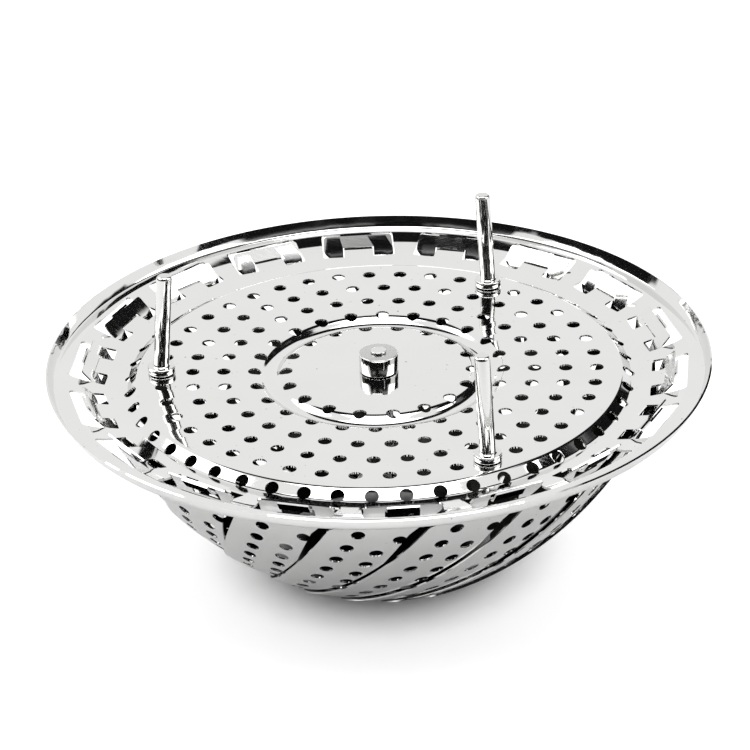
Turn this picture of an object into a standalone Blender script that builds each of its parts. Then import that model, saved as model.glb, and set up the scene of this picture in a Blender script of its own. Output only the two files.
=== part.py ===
# Folding steamer basket: a perforated plate on three feet, ringed by hinged petals.
# It stands as it is stored: closed, on the tips of its petals, with the feet up.
# The origin is on the floor below the middle of the plate. Metres, +Z up.
# Angles round the basket are counted from -Y towards +X.
import math

import bmesh
import bpy
from mathutils import Matrix, Vector

# Plate: sheet, holes and pressed form
SHEET = 0.0006
GAP = 0.0003  # air kept between pieces that touch
HOLE_D = 0.0042
HOLE_PITCH = 0.009525  # between the rings, and between the holes of a ring
HOLES_PER_RING = 6  # in ring 1; every further ring has as many more
FIRST_RING = 3
LAST_RING = 8
GROOVE_W = 0.0074
GROOVE_FLOOR_W = 0.0026
GROOVE_DEPTH = 0.0020
STEP_LEAD = 0.0022  # from the step's upper edge out to the last ring of holes
STEP_RUN = 0.0036
STEP_DROP = 0.0026
HINGE_SETBACK = 0.0088  # from the foot of the step out to the hinges
RAMP_PAST_HINGE = 0.0042
SHOULDER_RUN = 0.0045
TROUGH_RUN = 0.0037
LIP_RUN = 0.0023
RAMP_DEG = 13.6
SHOULDER_DEG = 20.0
TROUGH_DEG = -18.4  # the sheet falls again before it turns up in the lip
LIP_DEG = 59.5
PLATE_STEPS = 36
FLAT_DEG = 0.5  # faces closer than this to one plane are one face
HOLE_SIDES = 6
CUT_OVERRUN = 0.004  # how far every cutter stands out of the sheet
MERGE = 0.00003

# Windows in the plate, each with a tongue that its petal hangs on
PETALS = 18
FIRST_PETAL_DEG = 6.0
WINDOW_W = 0.0234
WINDOW_IN = 0.0032
WINDOW_OUT = 0.0078
WINDOW_CORNER = 0.0012
TONGUE_W = 0.0094
TONGUE_REACH = 0.0010

# Petals: a hinge tab with a slot, and a blade that sweeps to one side
PETAL_SHEET = 0.00045
BLADE_LENGTH = 0.0823
ROOT_DEG = 68.8
TIP_DEG = 29.0
TAB_DEG = 48.0
TAB_REACH = 0.0054
TAB_GAP = 0.0006
TAB_TAPER = 0.0009
SLOT_ABOVE = 0.0014
SLOT_BELOW = 0.0017
SLOT_GAP = 0.00035
NECK = 0.0036
NECK_RIGHT_CUT = 0.0033
HIP = 0.0082
HIP_LEFT_OUT = 0.0098
HIP_RIGHT_CUT = 0.0063
BLADE_START = 0.0120
BLADE_HALF_W = 0.0124
BLADE_SET = 0.0046
BLADE_SWEEP = 0.0416
BLADE_EASE = 0.0129
TIP_ROUND = 0.0140
TIP_HALF_W = 0.0030
LAP_GAP = 0.0005  # air between two petals where one lies over the other
BLADE_BANDS = 4
TIP_BANDS = 3
BLADE_COLUMNS = 3
PETAL_HOLE_PITCH = 0.0144
INNER_ROW_SET = 0.0028
INNER_ROW_START = 0.0108
INNER_ROW_HOLES = 3
OUTER_ROW_SET = 0.0073
OUTER_ROW_START = 0.0216
OUTER_ROW_HOLES = 2

# Feet, riveted through the plate
FEET = 3
FIRST_FOOT_DEG = 30.0
FOOT_RING = 7
FOOT_H = 0.0330
FOOT_D = 0.0048
FOOT_CHAMFER = 0.0006
FOOT_COLLAR_D = 0.0085
FOOT_COLLAR_H = 0.0022
FOOT_TAIL_D = 0.0032
FOOT_HEAD_D = 0.0065
FOOT_HEAD_H = 0.0010
FOOT_LEAN_DEG = 4.8
TURNED_STEPS = 16

# Middle: a boss on the plate, and below it a post with a lift ring
BOSS_D = 0.0120
BOSS_H = 0.0057
BOSS_CHAMFER = 0.0006
POST_D = 0.0080
POST_LENGTH = 0.0394
POST_CHAMFER = 0.0006
POST_TAIL_D = 0.0036
POST_HEAD_D = 0.0048
POST_HEAD_H = 0.0009
POST_HOLE_D = 0.0046
POST_HOLE_UP = 0.0040
RING_MEAN_R = 0.0105
RING_WIRE_D = 0.0020
RING_SAG = 0.0002
RING_STEPS = 24
RING_SIDES = 6

# Sizes that follow
plateau_r = LAST_RING * HOLE_PITCH - STEP_LEAD
foot_of_step_r = plateau_r + STEP_RUN
hinge_r = foot_of_step_r + HINGE_SETBACK
groove_r = (FIRST_RING + 0.5) * HOLE_PITCH
petal_turn = 2 * math.pi / PETALS
first_petal = math.radians(FIRST_PETAL_DEG)
blade_r = BLADE_LENGTH / math.radians(ROOT_DEG - TIP_DEG)
lap_step = PETAL_SHEET + LAP_GAP


def plate_points():
    """The plate's upper surface from the centre hole to the rim, as (radius, height)."""
    points = [(POST_TAIL_D / 2 + GAP, 0.0)]
    points.append((groove_r - GROOVE_W / 2, 0.0))
    points.append((groove_r - GROOVE_FLOOR_W / 2, -GROOVE_DEPTH))
    points.append((groove_r + GROOVE_FLOOR_W / 2, -GROOVE_DEPTH))
    points.append((groove_r + GROOVE_W / 2, 0.0))
    points.append((plateau_r, 0.0))
    points.append((foot_of_step_r, -STEP_DROP))
    runs = (HINGE_SETBACK + RAMP_PAST_HINGE, SHOULDER_RUN, TROUGH_RUN, LIP_RUN)
    for run, slope in zip(runs, (RAMP_DEG, SHOULDER_DEG, TROUGH_DEG, LIP_DEG)):
        radius, height = points[-1]
        points.append((radius + run, height + run * math.tan(math.radians(slope))))
    return points


# The hinge line runs through the middle of the sheet
hinge_z = -STEP_DROP + HINGE_SETBACK * math.tan(math.radians(RAMP_DEG)) - SHEET / 2


def around(angle, radius, height):
    """The place at an angle round the basket, turned to face outwards."""
    turn = Matrix.Rotation(angle, 4, "Z")
    return turn @ Matrix.Translation((0.0, -radius, height))


def clear_scene():
    for thing in list(bpy.data.objects):
        bpy.data.objects.remove(thing, do_unlink=True)


def new_collection(name):
    collection = bpy.data.collections.new(name)
    bpy.context.scene.collection.children.link(collection)
    return collection


def steel(name, colour, roughness):
    material = bpy.data.materials.new(name)
    material.use_nodes = True
    shader = material.node_tree.nodes["Principled BSDF"]
    shader.inputs["Base Color"].default_value = (*colour, 1.0)
    shader.inputs["Metallic"].default_value = 1.0
    shader.inputs["Roughness"].default_value = roughness
    return material


def add_object(name, mesh, collection, place=None):
    thing = bpy.data.objects.new(name, mesh)
    if place is not None:
        thing.matrix_world = place
    collection.objects.link(thing)
    return thing


def mesh_from(bm, name):
    mesh = bpy.data.meshes.new(name)
    bm.to_mesh(mesh)
    bm.free()
    return mesh


def evaluated_mesh(thing):
    bpy.context.view_layer.update()
    graph = bpy.context.evaluated_depsgraph_get()
    return bpy.data.meshes.new_from_object(thing.evaluated_get(graph))


def profile_object(name, points, closed, collection, steps):
    """A profile of (radius, height) points, turned about Z by a Screw modifier."""
    bm = bmesh.new()
    verts = [bm.verts.new((radius, 0.0, height)) for radius, height in points]
    for first, second in zip(verts, verts[1:]):
        bm.edges.new((first, second))
    if closed:
        bm.edges.new((verts[-1], verts[0]))
    thing = add_object(name, mesh_from(bm, name), collection)
    screw = thing.modifiers.new("turn", "SCREW")
    screw.steps = steps
    screw.render_steps = steps
    screw.use_merge_vertices = True
    screw.merge_threshold = MERGE
    return thing


def smooth(mesh, sharp_deg=30.0):
    mesh.shade_smooth()
    mesh.set_sharp_from_angle(angle=math.radians(sharp_deg))


def add_cut(thing, cutter):
    cut = thing.modifiers.new("cut", "BOOLEAN")
    cut.operation = "DIFFERENCE"
    cut.solver = "EXACT"
    cut.object = cutter


def add_cutter(name, mesh, collection):
    cutter = add_object(name, mesh, collection)
    cutter.hide_render = True
    cutter.display_type = "WIRE"
    return cutter


def add_hole(bm, place, radius, sides):
    bmesh.ops.create_cone(
        bm,
        cap_ends=True,
        segments=sides,
        radius1=radius,
        radius2=radius,
        depth=2 * CUT_OVERRUN,
        matrix=place,
    )


# Plate
def window_outline():
    """A window seen from above, as (right, outwards): it runs round the tongue in a U."""
    half = WINDOW_W / 2
    tongue = TONGUE_W / 2
    return [
        (-half, -WINDOW_IN),
        (-tongue, -WINDOW_IN),
        (-tongue, TONGUE_REACH),
        (tongue, TONGUE_REACH),
        (tongue, -WINDOW_IN),
        (half, -WINDOW_IN),
        (half, WINDOW_OUT - WINDOW_CORNER),
        (half - WINDOW_CORNER, WINDOW_OUT),
        (WINDOW_CORNER - half, WINDOW_OUT),
        (-half, WINDOW_OUT - WINDOW_CORNER),
    ]


def window_mesh(collection):
    curve = bpy.data.curves.new("window", "CURVE")
    curve.dimensions = "2D"
    curve.fill_mode = "BOTH"
    curve.extrude = CUT_OVERRUN
    spline = curve.splines.new("POLY")
    outline = window_outline()
    spline.points.add(len(outline) - 1)
    for point, (right, out) in zip(spline.points, outline):
        point.co = (right, -out, 0.0, 1.0)
    spline.use_cyclic_u = True
    drawn = add_object("window", curve, collection)
    mesh = evaluated_mesh(drawn)
    bpy.data.objects.remove(drawn, do_unlink=True)
    bm = bmesh.new()
    bm.from_mesh(mesh)
    bmesh.ops.remove_doubles(bm, verts=bm.verts, dist=MERGE)
    bm.to_mesh(mesh)
    bm.free()
    return mesh


def foot_angles():
    first = math.radians(FIRST_FOOT_DEG)
    return [first + 2 * math.pi * index / FEET for index in range(FEET)]


def plate_cutter(collection):
    bm = bmesh.new()
    start = math.radians(FIRST_FOOT_DEG)
    foot_every = HOLES_PER_RING * FOOT_RING // FEET
    step_slope = math.atan2(STEP_DROP, STEP_RUN)
    for ring in range(FIRST_RING, LAST_RING + 1):
        count = HOLES_PER_RING * ring
        on_step = ring == LAST_RING
        height = -STEP_DROP * STEP_LEAD / STEP_RUN if on_step else 0.0
        tilt = Matrix.Rotation(step_slope if on_step else 0.0, 4, "X")
        for index in range(count):
            if ring == FOOT_RING and index % foot_every == 0:
                continue
            angle = start + 2 * math.pi * index / count
            place = around(angle, ring * HOLE_PITCH, height) @ tilt
            add_hole(bm, place, HOLE_D / 2, HOLE_SIDES)
    for angle in foot_angles():
        place = around(angle, FOOT_RING * HOLE_PITCH, 0.0)
        add_hole(bm, place, FOOT_TAIL_D / 2 + GAP, TURNED_STEPS // 2)
    window = window_mesh(collection)
    for index in range(PETALS):
        copy = window.copy()
        copy.transform(around(first_petal + index * petal_turn, hinge_r, 0.0))
        bm.from_mesh(copy)
        bpy.data.meshes.remove(copy)
    bpy.data.meshes.remove(window)
    return mesh_from(bm, "plate_cutter")


def make_plate(collection, cutters, material):
    plate = profile_object("base_plate", plate_points(), False, collection, PLATE_STEPS)
    plate.data.transform(Matrix.Rotation(first_petal, 4, "Z"))
    sheet = plate.modifiers.new("sheet", "SOLIDIFY")
    sheet.thickness = SHEET
    sheet.offset = -1.0
    sheet.use_even_offset = True
    add_cut(plate, add_cutter("plate_cutter", plate_cutter(cutters), cutters))
    flats = plate.modifiers.new("flats", "DECIMATE")
    flats.decimate_type = "DISSOLVE"
    flats.angle_limit = math.radians(FLAT_DEG)
    solid = evaluated_mesh(plate)
    mesh = plate.data
    plate.modifiers.clear()
    plate.data = solid
    bpy.data.meshes.remove(mesh)
    solid.materials.append(material)
    smooth(solid)
    return plate


# Petals, drawn flat as (right, down the blade) and then laid on the dome
def blade_centre(down):
    share = down / BLADE_LENGTH
    return -(BLADE_SET + BLADE_SWEEP * share - BLADE_EASE * share * share)


def blade_half(down):
    into_tip = max(0.0, down - BLADE_LENGTH + TIP_ROUND) / TIP_ROUND
    return TIP_HALF_W + (BLADE_HALF_W - TIP_HALF_W) * math.sqrt(1.0 - into_tip * into_tip)


def petal_rows():
    """Rows of the petal from its tab to its tip, as (down, left edge, right edge)."""
    left = TAB_GAP - WINDOW_W / 2
    right = WINDOW_W / 2 - TAB_GAP
    rows = [(-TAB_REACH, left + TAB_TAPER, right - TAB_TAPER)]
    rows.append((0.0, left, right))
    rows.append((NECK, left, right - NECK_RIGHT_CUT))
    rows.append((HIP, left - HIP_LEFT_OUT, right - HIP_RIGHT_CUT))
    blade_end = BLADE_LENGTH - TIP_ROUND
    band = (blade_end - BLADE_START) / BLADE_BANDS
    downs = [BLADE_START + band * n for n in range(BLADE_BANDS + 1)]
    for n in range(1, TIP_BANDS + 1):
        downs.append(blade_end + TIP_ROUND * math.sin(math.pi / 2 * n / TIP_BANDS))
    for down in downs:
        centre = blade_centre(down)
        half = blade_half(down)
        rows.append((down, centre - half, centre + half))
    return rows


# The hinge stays straight, and below it the blade takes up the dome's curve across.
# Each petal's left side is a step further out than its right, so that it laps its neighbour.
def on_dome(right, down):
    """A point of the flat petal laid on the dome, and the dome's outward normal there."""
    root = math.radians(ROOT_DEG)
    if down < 0.0:
        slope = math.radians(TAB_DEG)
        radius = hinge_r - down * math.cos(slope)
        height = -down * math.sin(slope)
    else:
        slope = root - down / blade_r
        radius = hinge_r - blade_r * (math.sin(root) - math.sin(slope))
        height = -blade_r * (math.cos(slope) - math.cos(root))
    share = min(1.0, max(0.0, down / BLADE_START))
    bend = share * share * (3.0 - 2.0 * share)
    angle = bend * right / radius
    outward = Vector((math.sin(angle), -math.cos(angle), 0.0))
    across = Vector((math.cos(angle), math.sin(angle), 0.0))
    normal = math.sin(slope) * outward - Vector((0.0, 0.0, math.cos(slope)))
    middle = Vector((0.0, hinge_r, height))
    lift = bend * lap_step * (blade_centre(down) - right) / radius / petal_turn
    return middle + radius * outward + (1.0 - bend) * right * across + lift * normal, normal


def blade_frame(right, down):
    """The place of a hole's axis on the laid petal."""
    point, normal = on_dome(right, down)
    return Matrix.Translation(point) @ normal.to_track_quat("Z", "Y").to_matrix().to_4x4()


def petal_cutter():
    bm = bmesh.new()
    rows = (
        (-INNER_ROW_SET, INNER_ROW_START, INNER_ROW_HOLES),
        (OUTER_ROW_SET, OUTER_ROW_START, OUTER_ROW_HOLES),
    )
    for set_over, start, count in rows:
        for index in range(count):
            down = start + index * PETAL_HOLE_PITCH
            place = blade_frame(blade_centre(down) + set_over, down)
            add_hole(bm, place, HOLE_D / 2, HOLE_SIDES)
    lean = Matrix.Rotation(-math.radians((ROOT_DEG + TAB_DEG) / 2), 4, "X")
    middle = Matrix.Translation((0.0, (SLOT_BELOW - SLOT_ABOVE) / 2, 0.0))
    slot = (TONGUE_W + 2 * SLOT_GAP, SLOT_ABOVE + SLOT_BELOW, CUT_OVERRUN, 1.0)
    bmesh.ops.create_cube(bm, size=1.0, matrix=lean @ middle @ Matrix.Diagonal(slot))
    return mesh_from(bm, "petal_cutter")


def petal_mesh(cutters, material):
    rows = petal_rows()
    bm = bmesh.new()
    bmesh.ops.create_grid(bm, x_segments=BLADE_COLUMNS, y_segments=len(rows) - 1, size=1.0)
    for vert in bm.verts:
        row = rows[round((vert.co.y + 1) / 2 * (len(rows) - 1))]
        down, left, right = row
        vert.co = on_dome(left + (right - left) * (vert.co.x + 1) / 2, down)[0]
    bmesh.ops.reverse_faces(bm, faces=bm.faces)
    drawn = add_object("petal_drawn", mesh_from(bm, "petal_drawn"), cutters)
    sheet = drawn.modifiers.new("sheet", "SOLIDIFY")
    sheet.thickness = PETAL_SHEET
    sheet.offset = 1.0
    sheet.use_even_offset = True
    cutter = add_cutter("petal_cutter", petal_cutter(), cutters)
    add_cut(drawn, cutter)
    mesh = evaluated_mesh(drawn)
    bpy.data.objects.remove(drawn, do_unlink=True)
    mesh.name = "petal"
    mesh.materials.append(material)
    smooth(mesh)
    return mesh


def make_petals(mesh, collection, plate_z):
    for index in range(PETALS):
        place = around(first_petal + index * petal_turn, hinge_r, plate_z + hinge_z)
        add_object("petal_%02d" % (index + 1), mesh, collection, place)


# Feet
def foot_points():
    rod = FOOT_D / 2
    collar = FOOT_COLLAR_D / 2
    tail = FOOT_TAIL_D / 2
    head = FOOT_HEAD_D / 2
    below = -SHEET - GAP
    return [
        (0.0, FOOT_H),
        (rod - FOOT_CHAMFER, FOOT_H),
        (rod, FOOT_H - FOOT_CHAMFER),
        (rod, GAP + FOOT_COLLAR_H),
        (collar - FOOT_CHAMFER, GAP + FOOT_COLLAR_H),
        (collar, GAP + FOOT_COLLAR_H - FOOT_CHAMFER),
        (collar, GAP),
        (tail, GAP),
        (tail, below),
        (head, below),
        (head - FOOT_CHAMFER, below - FOOT_HEAD_H),
        (0.0, below - FOOT_HEAD_H),
    ]


def make_feet(collection, material, plate_z):
    drawn = profile_object("foot_drawn", foot_points(), False, collection, TURNED_STEPS)
    mesh = evaluated_mesh(drawn)
    bpy.data.objects.remove(drawn, do_unlink=True)
    start = GAP + FOOT_COLLAR_H
    for vert in mesh.vertices:
        vert.co.y += max(0.0, vert.co.z - start) * math.tan(math.radians(FOOT_LEAN_DEG))
    mesh.name = "foot"
    mesh.materials.append(material)
    smooth(mesh)
    for index, angle in enumerate(foot_angles()):
        place = around(angle, FOOT_RING * HOLE_PITCH, plate_z)
        add_object("leg_%d" % (index + 1), mesh, collection, place)


# Middle
def finish_turned(thing, material, place):
    mesh = evaluated_mesh(thing)
    drawn = thing.data
    thing.modifiers.clear()
    thing.data = mesh
    bpy.data.meshes.remove(drawn)
    mesh.materials.append(material)
    smooth(mesh)
    thing.matrix_world = place


def make_boss(collection, material, plate_z):
    outer = BOSS_D / 2
    bore = POST_TAIL_D / 2 + GAP
    points = [
        (bore, GAP + BOSS_H),
        (outer - BOSS_CHAMFER, GAP + BOSS_H),
        (outer, GAP + BOSS_H - BOSS_CHAMFER),
        (outer, GAP),
        (bore, GAP),
    ]
    boss = profile_object("post_collar", points, True, collection, TURNED_STEPS)
    finish_turned(boss, material, Matrix.Translation((0.0, 0.0, plate_z)))


def make_post(collection, cutters, material, plate_z):
    body = POST_D / 2
    tail = POST_TAIL_D / 2
    head = POST_HEAD_D / 2
    seat = 2 * GAP + BOSS_H
    shoulder = -SHEET - GAP
    end = -POST_LENGTH
    points = [
        (0.0, seat + POST_HEAD_H),
        (head - POST_HEAD_H / 2, seat + POST_HEAD_H),
        (head, seat + POST_HEAD_H / 2),
        (head, seat),
        (tail, seat),
        (tail, shoulder),
        (body, shoulder),
        (body, end + POST_CHAMFER),
        (body - POST_CHAMFER, end),
        (0.0, end),
    ]
    post = profile_object("center_post", points, False, collection, TURNED_STEPS)
    bm = bmesh.new()
    across = Matrix.Rotation(math.pi / 2, 4, "Y")
    place = Matrix.Translation((0.0, 0.0, end + POST_HOLE_UP)) @ across
    bmesh.ops.create_cone(
        bm,
        cap_ends=True,
        segments=TURNED_STEPS,
        radius1=POST_HOLE_D / 2,
        radius2=POST_HOLE_D / 2,
        depth=POST_D + 2 * CUT_OVERRUN,
        matrix=place,
    )
    add_cut(post, add_cutter("post_cutter", mesh_from(bm, "post_cutter"), cutters))
    finish_turned(post, material, Matrix.Translation((0.0, 0.0, plate_z)))


def make_ring(collection, material, plate_z):
    bpy.ops.mesh.primitive_torus_add(
        major_segments=RING_STEPS,
        minor_segments=RING_SIDES,
        major_radius=RING_MEAN_R,
        minor_radius=RING_WIRE_D / 2,
    )
    ring = bpy.context.active_object
    ring.name = "lift_ring"
    for owner in list(ring.users_collection):
        owner.objects.unlink(ring)
    collection.objects.link(ring)
    upright = Matrix.Rotation(math.pi / 2, 4, "X")
    ring.data.transform(Matrix.Translation((0.0, 0.0, -RING_MEAN_R)) @ upright)
    ring.data.materials.append(material)
    smooth(ring.data)
    hung = plate_z - POST_LENGTH + POST_HOLE_UP - RING_SAG
    ring.matrix_world = Matrix.Translation((0.0, 0.0, hung))


def main():
    clear_scene()
    parts = new_collection("folding_steamer_basket")
    cutters = new_collection("cutters")
    sheet_steel = steel("polished_sheet_steel", (0.78, 0.78, 0.77), 0.16)
    petal_steel = steel("rolled_petal_steel", (0.74, 0.74, 0.73), 0.2)
    turned_steel = steel("turned_steel", (0.76, 0.76, 0.75), 0.12)
    petal = petal_mesh(cutters, petal_steel)
    lowest = min(vert.co.z for vert in petal.vertices)
    plate_z = -hinge_z - lowest
    plate = make_plate(parts, cutters, sheet_steel)
    plate.matrix_world = Matrix.Translation((0.0, 0.0, plate_z))
    make_petals(petal, parts, plate_z)
    make_feet(parts, turned_steel, plate_z)
    make_boss(parts, turned_steel, plate_z)
    make_post(parts, cutters, turned_steel, plate_z)
    make_ring(parts, turned_steel, plate_z)


main()
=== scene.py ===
# Folding steamer basket in polished stainless steel, stored closed with its feet up
import math

import bmesh
import bpy
from mathutils import Matrix, Vector


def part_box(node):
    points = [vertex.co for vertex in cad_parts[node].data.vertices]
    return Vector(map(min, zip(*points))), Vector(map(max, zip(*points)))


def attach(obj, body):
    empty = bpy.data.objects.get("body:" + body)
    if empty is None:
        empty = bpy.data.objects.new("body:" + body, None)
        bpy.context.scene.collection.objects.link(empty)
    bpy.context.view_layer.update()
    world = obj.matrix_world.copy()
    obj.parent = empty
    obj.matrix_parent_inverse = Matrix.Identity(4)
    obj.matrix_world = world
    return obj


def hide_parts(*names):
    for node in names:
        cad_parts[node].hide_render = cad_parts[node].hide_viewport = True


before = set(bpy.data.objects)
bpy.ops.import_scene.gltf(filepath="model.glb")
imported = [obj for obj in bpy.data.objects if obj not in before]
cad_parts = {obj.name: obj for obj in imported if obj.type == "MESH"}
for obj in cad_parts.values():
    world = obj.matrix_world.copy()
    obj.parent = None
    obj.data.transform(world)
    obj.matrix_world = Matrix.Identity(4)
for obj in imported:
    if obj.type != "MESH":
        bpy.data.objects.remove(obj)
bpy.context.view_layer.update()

mm = 0.001
air = 0.3 * mm                     # kept between pieces that touch
weldGap = 0.001 * mm               # points closer than this are one point
cutterDepth = 8 * mm               # of what cuts holes and slots through a sheet


def around(degrees, radius, height):
    # angles count from -Y towards +X, and +X of the place stays level
    turn = Matrix.Rotation(math.radians(degrees), 4, "Z")
    return turn @ Matrix.Translation((0, -radius, height))


def linear(hexColour):
    # an sRGB hex colour as linear red, green, blue and a full alpha
    parts = [int(hexColour[i:i + 2], 16) / 255 for i in (1, 3, 5)]
    return [c / 12.92 if c <= 0.04045 else ((c + 0.055) / 1.055) ** 2.4 for c in parts] + [1]


def addNode(tree, kind, settings=None, links=None, values=None):
    # settings are node attributes, values are socket defaults, links are (output, input)
    node = tree.nodes.new("ShaderNode" + kind)
    for key, value in (settings or {}).items():
        setattr(node, key, value)
    for key, value in (values or {}).items():
        node.inputs[key].default_value = value
    for output, key in links or []:
        tree.links.new(output, node.inputs[key])
    return node


def newMaterial(name):
    material = bpy.data.materials.new(name)
    material.use_nodes = True
    tree = material.node_tree
    return material, tree, tree.nodes["Principled BSDF"]


def newSteel(name):
    material, tree, shader = newMaterial(name)
    shader.inputs["Metallic"].default_value = 1.0
    return material, tree, shader, addNode(tree, "TexCoord").outputs["Object"]


def newMatt(name, colour, roughness):
    material, tree, shader = newMaterial(name)
    if colour:
        shader.inputs["Base Color"].default_value = linear(colour)
    shader.inputs["Roughness"].default_value = roughness
    shader.inputs["Specular IOR Level"].default_value = 0.0
    return material, tree, shader


# Steels, and the sizes of what shows on them
pattern = {
    "smudge": 22 * mm,
    "speck": 1.5 * mm,
    "rub": (9 * mm, 0.3 * mm, 2 * mm),       # along, across and into a rubbing mark
    "rubHeight": 0.0006 * mm,
    "wave": 14 * mm,
    "dent": 9 * mm,
    "dentHeight": 0.25 * mm,
    "dentEdge": 0.6 * mm,
    "millCloud": 9 * mm,
    "toolRing": (6 * mm, 6 * mm, 0.12 * mm),
}


def buffedSteel(name, colours, roughness, wave, scratchTurn, dentRadius=None):
    # stainless sheet, cold rolled and buffed: almost a mirror, with a slow waviness,
    # fine rubbing marks and a few specks of dust
    material, tree, shader, spots = newSteel(name)
    smudge = addNode(tree, "TexNoise", links=[(spots, "Vector")],
                     values={"Scale": 1 / pattern["smudge"], "Detail": 3.0, "Roughness": 0.6})
    speck = addNode(tree, "TexNoise", links=[(spots, "Vector")],
                    values={"Scale": 1 / pattern["speck"], "Detail": 1.0})
    speckMask = addNode(tree, "MapRange", links=[(speck.outputs["Fac"], "Value")],
                        values={"From Min": 0.76, "From Max": 0.84})
    # a mix's colours are its sockets 6 and 7 and its output 2
    tint = addNode(tree, "Mix", {"data_type": "RGBA"}, [(smudge.outputs["Fac"], "Factor")],
                   {6: linear(colours[0]), 7: linear(colours[1])})
    dusty = addNode(tree, "Mix", {"data_type": "RGBA"},
                    [(speckMask.outputs["Result"], "Factor"), (tint.outputs[2], 6)],
                    {7: linear(colours[2])})
    tree.links.new(dusty.outputs[2], shader.inputs["Base Color"])
    # the rubbing marks are drawn coarser than the real ones so that they show
    rub = addNode(tree, "Mapping", links=[(spots, "Vector")],
                  values={"Rotation": (0, 0, math.radians(scratchTurn)),
                          "Scale": [1 / size for size in pattern["rub"]]})
    marks = addNode(tree, "TexNoise", links=[(rub.outputs["Vector"], "Vector")],
                    values={"Scale": 1.0, "Detail": 2.0})
    rough = addNode(tree, "MapRange", links=[(marks.outputs["Fac"], "Value")],
                    values={"From Min": 0.35, "From Max": 0.75,
                            "To Min": roughness[0], "To Max": roughness[1]})
    tree.links.new(rough.outputs["Result"], shader.inputs["Roughness"])
    slow = addNode(tree, "TexNoise", links=[(spots, "Vector")],
                   values={"Scale": 1 / pattern["wave"], "Detail": 0.0})
    waves = addNode(tree, "Bump", links=[(slow.outputs["Fac"], "Height")],
                    values={"Strength": 1.0, "Distance": wave})
    if dentRadius:
        # the upturned lip is a little dented from rolling
        level = addNode(tree, "VectorMath", {"operation": "MULTIPLY"}, [(spots, 0)],
                        {1: (1, 1, 0)})
        out = addNode(tree, "VectorMath", {"operation": "LENGTH"}, [(level.outputs[0], 0)])
        onLip = addNode(tree, "MapRange", links=[(out.outputs["Value"], "Value")],
                        values={"From Min": dentRadius,
                                "From Max": dentRadius + pattern["dentEdge"]})
        dents = addNode(tree, "TexNoise", links=[(spots, "Vector")],
                        values={"Scale": 1 / pattern["dent"], "Detail": 1.0})
        waves = addNode(tree, "Bump", links=[(dents.outputs["Fac"], "Height"),
                                             (onLip.outputs["Result"], "Strength"),
                                             (waves.outputs["Normal"], "Normal")],
                        values={"Distance": pattern["dentHeight"]})
    fine = addNode(tree, "Bump", links=[(marks.outputs["Fac"], "Height"),
                                        (waves.outputs["Normal"], "Normal")],
                   values={"Strength": 0.25, "Distance": pattern["rubHeight"]})
    tree.links.new(fine.outputs["Normal"], shader.inputs["Normal"])
    return material


def millShadedSteel(name, colours, roughness):
    # the inner faces, dull as they come from the mill and painted very dark as shade for the
    # closed dome's inside, with cloudy patches
    material, tree, shader, spots = newSteel(name)
    shader.inputs["Specular Tint"].default_value = linear(colours[2])
    cloud = addNode(tree, "TexNoise", links=[(spots, "Vector")],
                    values={"Scale": 1 / pattern["millCloud"], "Detail": 4.0})
    tint = addNode(tree, "Mix", {"data_type": "RGBA"}, [(cloud.outputs["Fac"], "Factor")],
                   {6: linear(colours[0]), 7: linear(colours[1])})
    tree.links.new(tint.outputs[2], shader.inputs["Base Color"])
    rough = addNode(tree, "MapRange", links=[(cloud.outputs["Fac"], "Value")],
                    values={"From Min": 0.3, "From Max": 0.7,
                            "To Min": roughness[0], "To Max": roughness[1]})
    tree.links.new(rough.outputs["Result"], shader.inputs["Roughness"])
    return material


def turnedSteel(name, colour, roughness, groove):
    # bright drawn rod faced on a lathe: mirror bands along it, with faint tool rings
    material, tree, shader, spots = newSteel(name)
    shader.inputs["Base Color"].default_value = linear(colour)
    level = addNode(tree, "Mapping", links=[(spots, "Vector")],
                    values={"Scale": [1 / size for size in pattern["toolRing"]]})
    rings = addNode(tree, "TexNoise", links=[(level.outputs["Vector"], "Vector")],
                    values={"Scale": 1.0, "Detail": 2.0})
    rough = addNode(tree, "MapRange", links=[(rings.outputs["Fac"], "Value")],
                    values={"From Min": 0.3, "From Max": 0.7,
                            "To Min": roughness[0], "To Max": roughness[1]})
    tree.links.new(rough.outputs["Result"], shader.inputs["Roughness"])
    bump = addNode(tree, "Bump", links=[(rings.outputs["Fac"], "Height")],
                   values={"Strength": 0.3, "Distance": groove})
    tree.links.new(bump.outputs["Normal"], shader.inputs["Normal"])
    return material


def newObject(name, bm, materials=()):
    mesh = bpy.data.meshes.new(name)
    bm.to_mesh(mesh)
    bm.free()
    for material in materials:
        mesh.materials.append(material)
    thing = bpy.data.objects.new(name, mesh)
    bpy.context.collection.objects.link(thing)
    return thing


def finishPiece(name, bm, materials, body, nodes, sharp=32):
    piece = newObject(name, bm, materials)
    piece.data.shade_smooth()
    piece.data.set_sharp_from_angle(angle=math.radians(sharp))
    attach(piece, body)
    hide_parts(*nodes)


def spinRound(bm, steps):
    bmesh.ops.spin(bm, geom=bm.verts[:] + bm.edges[:], cent=(0, 0, 0), axis=(0, 0, 1),
                   angle=2 * math.pi, steps=steps, use_merge=True)
    bmesh.ops.remove_doubles(bm, verts=bm.verts, dist=weldGap)
    bmesh.ops.recalc_face_normals(bm, faces=bm.faces)


def lathe(points, steps, closed=False, rounds=()):
    # a line of (radius, height) points spun round Z, its rounds (corners, size, segments)
    bm = bmesh.new()
    corners = [bm.verts.new((radius, 0, height)) for radius, height in points]
    pairs = list(zip(corners, corners[1:]))
    if closed:
        pairs.append((corners[-1], corners[0]))
    for pair in pairs:
        bm.edges.new(pair)
    for indices, size, segments in rounds:
        bmesh.ops.bevel(bm, geom=[corners[i] for i in indices], offset=size, segments=segments,
                        profile=0.5, affect="VERTICES", material=-1)
    spinRound(bm, steps)
    return bm


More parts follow.
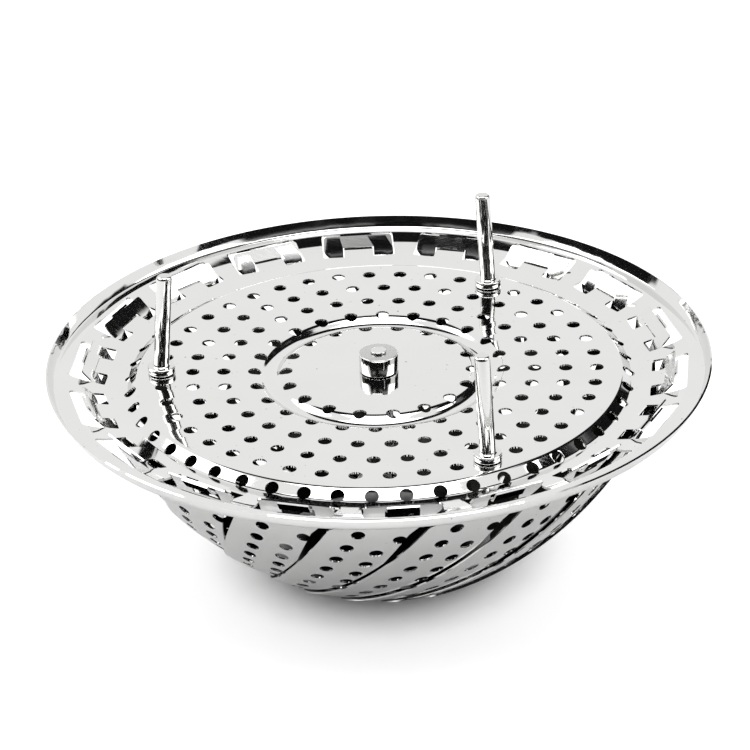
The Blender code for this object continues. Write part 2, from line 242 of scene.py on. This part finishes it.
def raiseFaces(bm, height):
    raised = bmesh.ops.extrude_face_region(bm, geom=bm.faces[:])
    top = [g for g in raised["geom"] if isinstance(g, bmesh.types.BMVert)]
    bmesh.ops.translate(bm, vec=(0, 0, height), verts=top)
    bmesh.ops.recalc_face_normals(bm, faces=bm.faces)


def drill(bm, place, width, sides, depth=cutterDepth):
    bmesh.ops.create_cone(bm, cap_ends=True, segments=sides, radius1=width / 2,
                          radius2=width / 2, depth=depth, matrix=place)


def cutWith(bm, cutter, thickness=0.0):
    # gives the sheet its thickness, takes the cutter out of it and returns the solid
    blank, punch = newObject("blank", bm), newObject("punch", cutter)
    if thickness:
        sheet = blank.modifiers.new("sheet", "SOLIDIFY")
        sheet.thickness = thickness
        sheet.offset = -1
        sheet.use_even_offset = True
    cut = blank.modifiers.new("cut", "BOOLEAN")
    cut.operation = "DIFFERENCE"
    cut.solver = "EXACT"
    cut.object = punch
    bpy.context.view_layer.update()
    graph = bpy.context.evaluated_depsgraph_get()
    mesh = bpy.data.meshes.new_from_object(blank.evaluated_get(graph))
    solid = bmesh.new()
    solid.from_mesh(mesh)
    for thing in (blank, punch):
        bpy.data.objects.remove(thing, do_unlink=True)
    bpy.data.meshes.remove(mesh)
    return solid


# Feet
foot = {
    "steps": 48,
    "height": 33.0 * mm,
    "width": 4.8 * mm,
    "filletUp": 0.25 * mm,        # between the rod and its collar
    "filletOut": 0.35 * mm,
    "collarWidth": 8.5 * mm,
    "collarHeight": 2.2 * mm,
    "nickHalf": 0.18 * mm,        # the turned line about the collar's middle
    "nickDepth": 0.16 * mm,
    "tailWidth": 3.2 * mm,
    "tailSides": 16,              # of its hole in the plate
    "headWidth": 6.5 * mm,
    "headHeight": 1.0 * mm,
    # the rod's tip, the collar's edges, the riveted head
    "rounds": [((1,), 1.0 * mm, 6), ((4, 8), 0.45 * mm, 5), ((12,), 0.5 * mm, 4)],
    "lean": 4.8,
    "angles": (30.0, 150.0, 270.0),
    "ring": 7,                    # of the plate's holes, that the feet take a place in
}
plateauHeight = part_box("leg_1")[1].z - foot["height"]


def makeFeet(material):
    rod, collar = foot["width"] / 2, foot["collarWidth"] / 2
    tail, head = foot["tailWidth"] / 2, foot["headWidth"] / 2
    top, waist = air + foot["collarHeight"], air + foot["collarHeight"] / 2
    below = -plate["sheet"] - air
    points = [(0, foot["height"]), (rod, foot["height"]), (rod, top + foot["filletUp"]),
              (rod + foot["filletOut"], top), (collar, top), (collar, waist + foot["nickHalf"]),
              (collar - foot["nickDepth"], waist), (collar, waist - foot["nickHalf"]),
              (collar, air), (tail, air), (tail, below), (head, below),
              (head, below - foot["headHeight"]), (0, below - foot["headHeight"])]
    turned = lathe(points, foot["steps"], rounds=foot["rounds"])
    lean = math.tan(math.radians(foot["lean"]))
    for vert in turned.verts:
        vert.co.y += max(0, vert.co.z - top) * lean
    for index, degrees in enumerate(foot["angles"]):
        bm = turned.copy()
        place = around(degrees, foot["ring"] * plate["pitch"], plateauHeight)
        bmesh.ops.transform(bm, matrix=place, verts=bm.verts)
        node = "leg_%d" % (index + 1)
        finishPiece("foot%d" % (index + 1), bm, [material], "base", [node])
    turned.free()


# Plate
plate = {
    "sheet": 0.6 * mm,
    "steps": 216,
    "holeWidth": 4.2 * mm,
    "holeSides": 20,
    "pitch": 9.525 * mm,          # between rings of holes, nearly the same round each ring
    "rings": range(3, 9),
    "ringHoles": 6,               # each ring has as many more than the one inside it
    "grooveMiddle": 33.34 * mm,
    "grooveWidth": 7.4 * mm,
    "grooveFloor": 2.6 * mm,
    "grooveDepth": 2.0 * mm,
    "flatRadius": 74.0 * mm,
    "stepRun": 3.6 * mm,
    "stepDrop": 2.6 * mm,
    "hingeSetback": 8.8 * mm,     # from the foot of the step out to the hinges
    "rimRuns": (13.0 * mm, 4.5 * mm, 4.12 * mm, 0.83 * mm, 1.05 * mm),
    "rimSlopes": (13.6, 20.0, -12.0, 57.0, 65.4),
    # rounded corners of the plate's line: which ones, size, segments
    "rounds": [((1, 4), 1.3 * mm, 5), ((2, 3), 1.2 * mm, 5), ((5, 6), 0.8 * mm, 4),
               ((7, 8), 0.6 * mm, 3), ((9,), 0.5 * mm, 3), ((10,), 0.8 * mm, 4)],
    "boreRadius": 2.1 * mm,
    "insideRadius": 98 * mm,      # the underside is left dull and painted dark as shade as far out as this
    "insideFacing": -0.3,         # where its faces point down more than this
}
window = {
    "width": 23.4 * mm,
    "inwards": 3.2 * mm,
    "outwards": 7.8 * mm,
    "outerRound": 1.4 * mm,
    "outerSegments": 4,
    "innerRound": 0.5 * mm,
    "innerSegments": 3,
    "punchHeight": 12 * mm,
    "tongueWidth": 9.4 * mm,
    "tongueReach": 1.0 * mm,
    "clinchRoot": 0.5 * mm,       # where the bent end starts inside the tongue
    "clinchStart": 2.1 * mm,      # along the tongue from the hinge to the bend
    "clinchRound": 0.8 * mm,
    "clinchBends": 5,
    "clinchRise": 3.6 * mm,
    "clinchSlope": 54.0,
    "clinchThinner": 0.02 * mm,   # on each face, so that none lies in the tongue's own
    "clinchNarrower": 0.05 * mm,  # at each edge
    "first": 6.0,                 # angle of the first window
    "count": 18,
}
hingeRadius = plate["flatRadius"] + plate["stepRun"] + plate["hingeSetback"]
hingeDrop = plate["hingeSetback"] * math.tan(math.radians(plate["rimSlopes"][0]))
hingeHeight = plateauHeight - plate["stepDrop"] + hingeDrop - plate["sheet"] / 2


def windowAngle(index):
    return window["first"] + 360 * index / window["count"]


def plateLine():
    half, floorHalf = plate["grooveWidth"] / 2, plate["grooveFloor"] / 2
    middle, depth = plate["grooveMiddle"], plate["grooveDepth"]
    points = [(plate["boreRadius"], 0), (middle - half, 0), (middle - floorHalf, -depth),
              (middle + floorHalf, -depth), (middle + half, 0), (plate["flatRadius"], 0),
              (plate["flatRadius"] + plate["stepRun"], -plate["stepDrop"])]
    for run, slope in zip(plate["rimRuns"], plate["rimSlopes"]):
        radius, height = points[-1]
        points.append((radius + run, height + run * math.tan(math.radians(slope))))
    return points


def windowPunch(bm, place):
    half, tongue = window["width"] / 2, window["tongueWidth"] / 2
    near, far, reach = -window["inwards"], window["outwards"], window["tongueReach"]
    outline = [(-half, near), (-tongue, near), (-tongue, reach), (tongue, reach),
               (tongue, near), (half, near), (half, far), (-half, far)]
    punch = bmesh.new()
    corners = [punch.verts.new((x, -y, -window["punchHeight"] / 2)) for x, y in outline]
    punch.faces.new(corners)
    for corner, size, segments in ((corners[6:], window["outerRound"], window["outerSegments"]),
                                   (corners[:6], window["innerRound"], window["innerSegments"])):
        bmesh.ops.bevel(punch, geom=[v for v in corner if v.is_valid], offset=size,
                        segments=segments, profile=0.5, affect="VERTICES", material=-1)
    raiseFaces(punch, window["punchHeight"])
    bmesh.ops.transform(punch, matrix=place, verts=punch.verts)
    mesh = bpy.data.meshes.new("window")
    punch.to_mesh(mesh)
    punch.free()
    bm.from_mesh(mesh)
    bpy.data.meshes.remove(mesh)


def clinch(bm, place):
    # the tongue's end, bent up outside its petal's tab so that the petal stays on
    rise, bend = math.radians(plate["rimSlopes"][0]), math.radians(window["clinchSlope"])
    root, bends = window["clinchRoot"], window["clinchBends"]
    slopes = [rise] + [rise + (bend - rise) * (n + 0.5) / bends for n in range(bends)] + [bend]
    lengths = ([window["clinchStart"] - root] + [window["clinchRound"] / bends] * bends
               + [window["clinchRise"]])
    out, up = root * math.cos(rise), root * math.sin(rise)
    middle = [(out, up, rise)]
    for slope, length in zip(slopes, lengths):
        out, up = out + length * math.cos(slope), up + length * math.sin(slope)
        middle.append((out, up, slope))
    half = plate["sheet"] / 2 - window["clinchThinner"]
    edge = window["tongueWidth"] / 2 - window["clinchNarrower"]
    rows = []
    for out, up, slope in middle:
        across, along = half * math.sin(slope), half * math.cos(slope)
        rows.append([bm.verts.new(place @ Vector((x, -(out - side * across), up + side * along)))
                     for x, side in ((-edge, 1), (edge, 1), (edge, -1), (-edge, -1))])
    for first, second in zip(rows, rows[1:]):
        for n in range(4):
            bm.faces.new((first[n], first[(n + 1) % 4], second[(n + 1) % 4], second[n]))
    bm.faces.new(rows[0])
    bm.faces.new(reversed(rows[-1]))


def makePlate(outside, inside):
    blank = lathe(plateLine(), plate["steps"], rounds=plate["rounds"])
    if sum(face.normal.z * face.calc_area() for face in blank.faces) < 0:
        bmesh.ops.reverse_faces(blank, faces=blank.faces)
    punch = bmesh.new()
    last = plate["rings"][-1]
    lead = last * plate["pitch"] - plate["flatRadius"]
    lean = math.atan2(plate["stepDrop"], plate["stepRun"])
    for number in plate["rings"]:
        onStep = number == last
        height = -lead * math.tan(lean) if onStep else 0
        tilt = Matrix.Rotation(lean if onStep else 0, 4, "X")
        count = plate["ringHoles"] * number
        for index in range(count):
            degrees = foot["angles"][0] + 360 * index / count
            if number == foot["ring"] and index % (count // len(foot["angles"])) == 0:
                continue                       # a foot stands here
            drill(punch, around(degrees, number * plate["pitch"], height) @ tilt,
                  plate["holeWidth"], plate["holeSides"])
    for degrees in foot["angles"]:
        drill(punch, around(degrees, foot["ring"] * plate["pitch"], 0),
              foot["tailWidth"] + 2 * air, foot["tailSides"])
    for index in range(window["count"]):
        windowPunch(punch, around(windowAngle(index), hingeRadius, 0))
    bm = cutWith(blank, punch, plate["sheet"])
    for index in range(window["count"]):
        clinch(bm, around(windowAngle(index), hingeRadius, hingeHeight - plateauHeight))
    bmesh.ops.recalc_face_normals(bm, faces=bm.faces)
    # faces under the plate take the dark inner steel, painted shade
    for face in bm.faces:
        radius = face.calc_center_median().xy.length
        below = face.normal.z < plate["insideFacing"] and radius < plate["insideRadius"]
        face.material_index = 1 if below else 0
    bmesh.ops.translate(bm, vec=(0, 0, plateauHeight), verts=bm.verts)
    finishPiece("perforatedPlate", bm, [outside, inside], "base", ["base_plate"])


# Leaves: cut out flat as (right, down the blade), then laid on the dome
petal = {
    "sheet": 0.45 * mm,
    "length": 82.3 * mm,
    "rootSlope": 68.8,            # degrees from level, as the next two
    "tipSlope": 29.0,
    "tabSlope": 48.0,
    "tabReach": 5.4 * mm,
    "tabGap": 0.35 * mm,
    "tabTaper": 0.3 * mm,
    "slotAbove": 1.4 * mm,
    "slotBelow": 3.0 * mm,        # clears the tongue's end when the leaf is open
    "slotGap": 0.35 * mm,
    "neck": 3.6 * mm,
    "neckRightCut": 3.3 * mm,
    "hip": 8.2 * mm,
    "hipLeftOut": 9.8 * mm,
    "hipRightCut": 6.3 * mm,
    "cornerRound": 0.9 * mm,
    "cornerSegments": 4,
    "cornerReach": 0.1 * mm,      # past the hips, for the corners that are rounded
    "onHinge": 0.01 * mm,         # points closer to the hinge's line than this lie on it
    "bladeStart": 12.0 * mm,
    "bladeRows": 20,
    "bladeHalf": 12.4 * mm,
    "bladeSet": 4.6 * mm,
    "bladeSweep": 41.6 * mm,
    "bladeEase": 12.9 * mm,
    "tipRound": 14.0 * mm,
    "tipRows": 10,
    "tipHalf": 3.0 * mm,
    "lapGap": 0.5 * mm,           # between a leaf and the one it lies over
    "holeWidth": 4.2 * mm,
    "holeSides": 16,
    "holePitch": 7.2 * mm,
    # rows of holes as (set over from the middle, first hole down the blade, number of holes)
    "innerRow": (-2.8 * mm, 10.8 * mm, 9),
    "outerRow": (7.3 * mm, 14.4 * mm, 8),
    "firstShift": 3.6 * mm,       # the outer row's first hole is set over further
    "cellsAcross": range(-48, 15, 3),        # in whole millimetres
    "cellsDown": range(0, 83, 2),
    "insideFacing": -0.5,         # of the flat sheet's dull side, painted dark as shade, which starts at the neck
    "sharpAngle": 40,
}


def bladeMiddle(down):
    share = down / petal["length"]
    return -(petal["bladeSet"] + petal["bladeSweep"] * share - petal["bladeEase"] * share ** 2)


def bladeHalf(down):
    share = max(0, down - petal["length"] + petal["tipRound"]) / petal["tipRound"]
    spread = petal["bladeHalf"] - petal["tipHalf"]
    return petal["tipHalf"] + spread * math.sqrt(max(0, 1 - share ** 2))


def petalOutline():
    left = petal["tabGap"] - window["width"] / 2
    right = window["width"] / 2 - petal["tabGap"]
    rows = [(-petal["tabReach"], left + petal["tabTaper"], right - petal["tabTaper"]),
            (0, left, right),
            (petal["neck"], left, right - petal["neckRightCut"]),
            (petal["hip"], left - petal["hipLeftOut"], right - petal["hipRightCut"])]
    blade, tip = petal["bladeRows"], petal["tipRows"]
    start, straight = petal["bladeStart"], petal["length"] - petal["tipRound"]
    downs = [start + (straight - start) * n / blade for n in range(blade + 1)]
    downs += [straight + petal["tipRound"] * math.sin(math.pi * n / (2 * tip))
              for n in range(1, tip + 1)]
    rows += [(d, bladeMiddle(d) - bladeHalf(d), bladeMiddle(d) + bladeHalf(d)) for d in downs]
    return [(near, d) for d, near, far in rows] + [(far, d) for d, near, far in reversed(rows)]


def onDome(right, down):
    # where a point of the flat sheet comes to lie, and which way the sheet faces there
    bend = petal["length"] / math.radians(petal["rootSlope"] - petal["tipSlope"])
    root = math.radians(petal["rootSlope"])
    if down < 0:
        slope = math.radians(petal["tabSlope"])
        radius = hingeRadius - down * math.cos(slope)
        height = -down * math.sin(slope)
    else:
        slope = root - down / bend
        radius = hingeRadius - bend * (math.sin(root) - math.sin(slope))
        height = -bend * (math.cos(slope) - math.cos(root))
    share = min(1, max(0, down / petal["bladeStart"]))
    curl = share * share * (3 - 2 * share)
    angle = curl * right / radius
    outward = Vector((math.sin(angle), -math.cos(angle), 0))
    across = Vector((math.cos(angle), math.sin(angle), 0))
    if abs(down) < petal["onHinge"]:
        slope = math.radians(petal["rootSlope"] + petal["tabSlope"]) / 2
    normal = math.sin(slope) * outward - Vector((0, 0, math.cos(slope)))
    lapStep = petal["sheet"] + petal["lapGap"]
    lift = curl * lapStep * (bladeMiddle(down) - right) / radius / (2 * math.pi / window["count"])
    point = Vector((0, hingeRadius, height)) + radius * outward + (1 - curl) * right * across
    return point + lift * normal, normal


def petalSheet():
    blank = bmesh.new()
    blank.faces.new([blank.verts.new((x, y, 0)) for x, y in petalOutline()])
    sharpOnes = [v for v in blank.verts if v.co.y < petal["hip"] + petal["cornerReach"]]
    bmesh.ops.bevel(blank, geom=sharpOnes, offset=petal["cornerRound"],
                    segments=petal["cornerSegments"], profile=0.5,
                    affect="VERTICES", material=-1)
    raiseFaces(blank, petal["sheet"])
    punch = bmesh.new()
    for over, start, count in (petal["innerRow"], petal["outerRow"]):
        for index in range(count):
            down = start + index * petal["holePitch"]
            extra = petal["firstShift"] if over > 0 and index == 0 else 0
            place = Matrix.Translation((bladeMiddle(down) + over + extra, down, 0))
            drill(punch, place, petal["holeWidth"], petal["holeSides"])
    slot = (window["tongueWidth"] + 2 * petal["slotGap"],
            petal["slotAbove"] + petal["slotBelow"], cutterDepth, 1)
    middle = Matrix.Translation((0, (petal["slotBelow"] - petal["slotAbove"]) / 2, 0))
    bmesh.ops.create_cube(punch, size=1, matrix=middle @ Matrix.Diagonal(slot))
    bm = cutWith(blank, punch)
    # score the flat sheet into small cells, so that it bends smoothly
    cuts = [((x * mm, 0, 0), (1, 0, 0)) for x in petal["cellsAcross"]]
    cuts += [((0, y * mm, 0), (0, 1, 0)) for y in petal["cellsDown"]]
    for point, normal in cuts:
        bmesh.ops.bisect_plane(bm, geom=bm.verts[:] + bm.edges[:] + bm.faces[:],
                               dist=weldGap, plane_co=point, plane_no=normal)
    bm.normal_update()
    # the downward side past the neck takes the dark inner steel, painted shade
    for face in bm.faces:
        down = face.calc_center_median().y
        dull = face.normal.z < petal["insideFacing"] and down > petal["neck"]
        face.material_index = 1 if dull else 0
    for vert in bm.verts:
        point, normal = onDome(vert.co.x, vert.co.y)
        vert.co = point + vert.co.z * normal
    bmesh.ops.reverse_faces(bm, faces=bm.faces)
    return bm


def makePetals(outside, inside):
    flat = petalSheet()
    for index in range(window["count"]):
        bm = flat.copy()
        place = around(windowAngle(index), hingeRadius, hingeHeight)
        bmesh.ops.transform(bm, matrix=place, verts=bm.verts)
        number = "%02d" % (index + 1)
        node = "petal_" + number
        finishPiece("leaf" + number, bm, [outside, inside], node, [node],
                    petal["sharpAngle"])
    flat.free()


# Boss
boss = {
    "steps": 72,
    "width": 12.0 * mm,
    "height": 5.7 * mm,
    "boreRadius": 2.1 * mm,
    "rounds": [((1,), 0.3 * mm, 3), ((2,), 0.2 * mm, 2)],    # its upper and lower edges
    "endFacing": 0.95,            # faces that point up more than this are the faced end
}


def makeBoss(side, end):
    outer, bore = boss["width"] / 2, boss["boreRadius"]
    points = [(bore, air + boss["height"]), (outer, air + boss["height"]),
              (outer, air), (bore, air)]
    bm = lathe(points, boss["steps"], closed=True, rounds=boss["rounds"])
    for face in bm.faces:
        face.material_index = 1 if face.normal.z > boss["endFacing"] else 0
    bmesh.ops.translate(bm, vec=(0, 0, plateauHeight), verts=bm.verts)
    finishPiece("bossTurned", bm, [side, end], "base", ["post_collar"])


# Post
post = {
    "steps": 48,
    "width": 8.0 * mm,
    "length": 39.4 * mm,
    "tailWidth": 3.6 * mm,
    "headWidth": 4.8 * mm,
    "headHeight": 0.55 * mm,
    # the hollow of the riveted head: share of its radius, depth
    "hollow": [(0, 0.12 * mm), (0.55, 0.06 * mm), (0.8, 0)],
    # the head's edge, the far end, the shoulder under the plate
    "rounds": [((3,), 0.25 * mm, 3), ((8,), 0.6 * mm, 2), ((7,), 0.3 * mm, 2)],
    "eyeWidth": 4.6 * mm,
    "eyeSides": 32,
    "eyeUp": 4.0 * mm,
    "eyeDepth": 16 * mm,
}


def makePost(material):
    body, tail, head = post["width"] / 2, post["tailWidth"] / 2, post["headWidth"] / 2
    seat, shoulder, end = 2 * air + boss["height"], -plate["sheet"] - air, -post["length"]
    top = seat + post["headHeight"]
    points = [(head * share, top - depth) for share, depth in post["hollow"]]
    points += [(head, top), (head, seat), (tail, seat), (tail, shoulder), (body, shoulder),
               (body, end), (0, end)]
    blank = lathe(points, post["steps"], rounds=post["rounds"])
    punch = bmesh.new()
    across = Matrix.Rotation(math.pi / 2, 4, "Y")
    drill(punch, Matrix.Translation((0, 0, end + post["eyeUp"])) @ across,
          post["eyeWidth"], post["eyeSides"], post["eyeDepth"])
    bm = cutWith(blank, punch)
    bmesh.ops.translate(bm, vec=(0, 0, plateauHeight), verts=bm.verts)
    finishPiece("postTurned", bm, [material], "base", ["center_post"])


# Ring
ring = {
    "steps": 72,
    "sides": 16,
    "meanRadius": 10.5 * mm,
    "wire": 2.0 * mm,
    "sag": 0.2 * mm,              # below the middle of the post's eye, where it hangs
}


def makeRing(material):
    bm = bmesh.new()
    upright = Matrix.Rotation(math.pi / 2, 4, "X")
    bmesh.ops.create_circle(bm, segments=ring["sides"], radius=ring["wire"] / 2,
                            matrix=Matrix.Translation((ring["meanRadius"], 0, 0)) @ upright)
    spinRound(bm, ring["steps"])
    height = plateauHeight - post["length"] + post["eyeUp"] - ring["sag"] - ring["meanRadius"]
    place = Matrix.Translation((0, 0, height)) @ upright
    bmesh.ops.transform(bm, matrix=place, verts=bm.verts)
    finishPiece("wireRing", bm, [material], "lift_ring", ["lift_ring"])


# Studio
studio = {
    "background": 1.0,
    "fill": 0.52,                 # of the background where it lights matt things
    "paperRadius": 6,
    "paperSides": 96,
    "paperGlow": 0.42,
    "glowRadii": (33 * mm, 60 * mm),  # none inside the first, full past the second; painted light that lightens the dome's shadow on the paper away from its foot
    "discRadii": (23 * mm, 34 * mm),  # painted shadow: black as far out as the first, gone at the second
    "discSides": 64,
    "discHeight": 0.05 * mm,
    "radius": 1.0,                # of the sphere that the cards lie on
    # dark cards as (name, azimuths, elevations): azimuth 0 is the camera's side, 180 the far one
    "cards": [
        ("cardCamera", (-56, 56), (-2, 66)),
        ("cardHigh", (128, 232), (50, 70)),
        ("cardRight", (104, 150), (13, 62)),
        ("cardLowLeft", (-114, -50), (-2, 25)),
        ("cardLowRight", (46, 71), (-2, 25)),
    ],
    "cardCells": (24, 12),
    "cardBlack": 0.008,
    "cloudScale": 3.2,
    "hazeMiddle": 38,             # elevation of a lighter belt over the cards
    "hazeHalf": 7,
    # lamps as (name, azimuth, elevation, width, height, radiance)
    "lamps": [
        ("lampLeft", -94, 42, 0.8, 0.6, 2.2),
        ("lampRight", 87, 40, 0.75, 0.5, 2.3),
        ("lampTop", 0, 88, 0.62, 0.62, 3.4),
    ],
    "lampInset": 0.95,            # share of the sphere's radius that the lamps hang at
}
camera = {
    "focal": 3585,                # in the photograph's pixels, as its width and the shift
    "frame": 750,
    "shift": (3.94, 5.36),
    "sensor": 36,
    "away": 1.098,
    "elevation": 27.40,
    "azimuth": 2.4,
    "roll": 1.82,
    "clip": (0.05, 30),
}
studioMiddle = Vector((0, 0, plateauHeight))


def direction(azimuth, elevation):
    a, e = math.radians(azimuth), math.radians(elevation)
    return Vector((math.sin(a) * math.cos(e), -math.cos(a) * math.cos(e), math.sin(e)))


def makeFloor():
    # matt white background paper, that glows a little for the camera alone: painted light that
    # lightens the dome's shadow away from its foot
    material, tree, shader = newMatt("paperSweep", "#FCFCFC", 0.9)
    shader.inputs["Emission Color"].default_value = (1, 1, 1, 1)
    spots = addNode(tree, "TexCoord").outputs["Object"]
    away = addNode(tree, "VectorMath", {"operation": "LENGTH"}, [(spots, 0)])
    glow = addNode(tree, "MapRange", {"interpolation_type": "SMOOTHSTEP"},
                   [(away.outputs["Value"], "Value")],
                   {"From Min": studio["glowRadii"][0], "From Max": studio["glowRadii"][1],
                    "To Max": studio["paperGlow"]})
    path = addNode(tree, "LightPath").outputs
    share = addNode(tree, "Math", {"operation": "MULTIPLY"},
                    [(path["Is Camera Ray"], 0), (glow.outputs["Result"], 1)])
    tree.links.new(share.outputs[0], shader.inputs["Emission Strength"])
    bm = bmesh.new()
    bmesh.ops.create_circle(bm, cap_ends=True, segments=studio["paperSides"],
                            radius=studio["paperRadius"])
    paper = newObject("paperFloor", bm, [material])


def makeCards():
    # black cards that only the steel sees, soft at their edges and cloudy like a dim room
    material, tree, shader = newMatt("blackFlock", None, 1.0)
    spots = addNode(tree, "TexCoord").outputs["Object"]
    cloud = addNode(tree, "TexNoise", links=[(spots, "Vector")],
                    values={"Scale": studio["cloudScale"], "Detail": 2.0})
    shade = addNode(tree, "MapRange", links=[(cloud.outputs["Fac"], "Value")],
                    values={"From Min": 0.42, "From Max": 0.62, "To Min": 0.0, "To Max": 0.3})
    belt = addNode(tree, "Attribute", {"attribute_name": "haze"}).outputs["Fac"]
    grey = addNode(tree, "Math", {"operation": "MULTIPLY_ADD"},
                   [(shade.outputs["Result"], 0), (belt, 1)], {2: studio["cardBlack"]})
    tree.links.new(grey.outputs[0], shader.inputs["Base Color"])
    cover = addNode(tree, "Attribute", {"attribute_name": "inner"}).outputs["Fac"]
    tree.links.new(cover, shader.inputs["Alpha"])
    columns, rows = studio["cardCells"]
    for name, azimuths, elevations in studio["cards"]:
        bm = bmesh.new()
        inner = bm.verts.layers.float.new("inner")
        haze = bm.verts.layers.float.new("haze")
        bmesh.ops.create_grid(bm, x_segments=columns, y_segments=rows, size=0.5)
        for vert in bm.verts:
            azimuth = azimuths[0] + (azimuths[1] - azimuths[0]) * (vert.co.x + 0.5)
            elevation = elevations[0] + (elevations[1] - elevations[0]) * (vert.co.y + 0.5)
            vert[inner] = 0 if vert.is_boundary else 1
            vert[haze] = max(0, 1 - abs(elevation - studio["hazeMiddle"]) / studio["hazeHalf"])
            vert.co = studio["radius"] * direction(azimuth, elevation) + studioMiddle
        card = newObject(name, bm, [material])
        card.visible_camera = False
        card.visible_diffuse = False
        card.visible_shadow = False


def makeDisc():
    # a soft black disc below the dome, painted shadow that keeps its inside dark
    dark, tree, shader = newMatt("paintedShadowDisc", "#0C0C0C", 1.0)
    spots = addNode(tree, "TexCoord").outputs["Object"]
    out = addNode(tree, "VectorMath", {"operation": "LENGTH"}, [(spots, 0)])
    fade = addNode(tree, "MapRange", {"interpolation_type": "SMOOTHSTEP"},
                   [(out.outputs["Value"], "Value")],
                   {"From Min": studio["discRadii"][0], "From Max": studio["discRadii"][1],
                    "To Min": 1.0, "To Max": 0.0})
    tree.links.new(fade.outputs["Result"], shader.inputs["Alpha"])
    bm = bmesh.new()
    bmesh.ops.create_circle(bm, cap_ends=True, segments=studio["discSides"],
                            radius=studio["discRadii"][1],
                            matrix=Matrix.Translation((0, 0, studio["discHeight"])))
    disc = newObject("paintedShadowBelow", bm, [dark])


def makeLamps():
    for name, azimuth, elevation, width, height, radiance in studio["lamps"]:
        data = bpy.data.lights.new(name, "AREA")
        data.shape = "RECTANGLE"
        data.size, data.size_y = width, height
        data.energy = radiance * math.pi * width * height
        lamp = bpy.data.objects.new(name, data)
        away = direction(azimuth, elevation)
        lamp.location = away * (studio["radius"] * studio["lampInset"]) + studioMiddle
        lamp.rotation_euler = away.to_track_quat("Z", "Y").to_euler()
        bpy.context.collection.objects.link(lamp)


def makeWorld():
    # the camera and the steel see the background in full, the paper is lit by its fill
    world = bpy.data.worlds.new("studio")
    bpy.context.scene.world = world
    world.use_nodes = True
    tree = world.node_tree
    back = tree.nodes["Background"]
    back.inputs["Color"].default_value = (1, 1, 1, 1)
    path = addNode(tree, "LightPath").outputs
    seen = addNode(tree, "Math", {"operation": "MAXIMUM"},
                   [(path["Is Camera Ray"], 0), (path["Is Glossy Ray"], 1)])
    both = addNode(tree, "Math", {"operation": "MAXIMUM"},
                   [(seen.outputs[0], 0), (path["Is Transmission Ray"], 1)])
    strength = addNode(tree, "MapRange", links=[(both.outputs[0], "Value")],
                       values={"To Min": studio["fill"], "To Max": studio["background"]})
    tree.links.new(strength.outputs["Result"], back.inputs["Strength"])


def makeCamera():
    data = bpy.data.cameras.new("camera")
    data.sensor_width = camera["sensor"]
    data.lens = camera["focal"] * camera["sensor"] / camera["frame"]
    data.shift_x, data.shift_y = [-pixels / camera["frame"] for pixels in camera["shift"]]
    data.clip_start, data.clip_end = camera["clip"]
    view = bpy.data.objects.new("camera", data)
    bpy.context.collection.objects.link(view)
    away = direction(camera["azimuth"], camera["elevation"])
    level = direction(camera["azimuth"] + 90, 0)
    rise = away.cross(level)
    roll = math.radians(camera["roll"])
    right = math.cos(roll) * level - math.sin(roll) * rise
    up = math.sin(roll) * level + math.cos(roll) * rise
    turn = Matrix((right, up, away)).transposed().to_4x4()
    view.matrix_world = Matrix.Translation(studioMiddle + camera["away"] * away) @ turn
    bpy.context.scene.camera = view


makeCamera()
makeFloor()
makeCards()
makeDisc()
makeLamps()
makeWorld()
print("studio ready")

sheetSteel = buffedSteel("buffedStainlessSheet", ("#E7E7E6", "#E1E1E0", "#9A9A98"),
                         roughness=(0.03, 0.10), wave=0.02 * mm, scratchTurn=20,
                         dentRadius=98.6 * mm)
leafSteel = buffedSteel("rolledStainlessLeaf", ("#E6E6E5", "#DEDEDD", "#989896"),
                        roughness=(0.05, 0.14), wave=0.015 * mm, scratchTurn=70)
rodSteel = turnedSteel("brightDrawnRod", "#DEDEDC", roughness=(0.03, 0.08),
                       groove=0.0003 * mm)
bossSteel = turnedSteel("polishedBoss", "#DEDEDC", roughness=(0.03, 0.08),
                        groove=0.0003 * mm)
# the inner faces' near-black colours are painted shade for the inside of the closed dome
dullShadedSteel = millShadedSteel("dullInnerPaintedShade", ("#2B2B2A", "#3B3B39", "#6A6A68"),
                      roughness=(0.14, 0.24))
endSteel = turnedSteel("facedRodEnd", "#C9C9C7", roughness=(0.28, 0.40), groove=0.003 * mm)
print("steels ready")

makePlate(sheetSteel, dullShadedSteel)
print("plate ready")
makePetals(leafSteel, dullShadedSteel)
print("leaves ready")
makeFeet(rodSteel)
makeBoss(bossSteel, endSteel)
makePost(rodSteel)
makeRing(rodSteel)
print("feet, boss, post and ring ready")

bpy.context.scene.view_settings.view_transform = "Standard"
